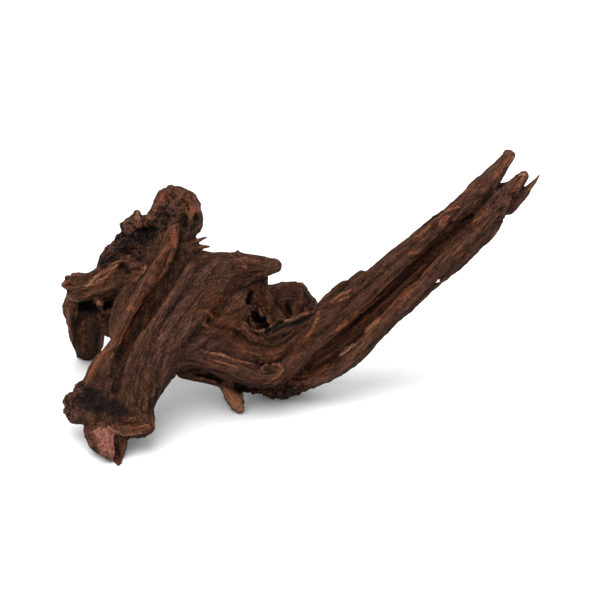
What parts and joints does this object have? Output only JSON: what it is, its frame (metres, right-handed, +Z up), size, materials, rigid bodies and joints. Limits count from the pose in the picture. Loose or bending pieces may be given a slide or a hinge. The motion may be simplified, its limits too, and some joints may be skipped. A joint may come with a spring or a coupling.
{
  "type": "driftwood root",
  "caption": "Gnarled driftwood root with a thick twisted trunk, a rear leg and a long double arm rising to broken tips; it lies steady on low contact spots.",
  "frame": {"origin": "centre of the box round the root, at the level of the surface that it lies on", "axes": "+X to the right along the arm's reach, +Y to the back, +Z up"},
  "size_m": [0.4736, 0.2238, 0.2608],
  "materials": {
    "weathered_wood": "matt dark brown weathered root wood with rust-brown crests and charred hollows"
  },
  "bodies": {
    "root": {"driftwood_root": "weathered_wood"}
  },
  "joints": []
}
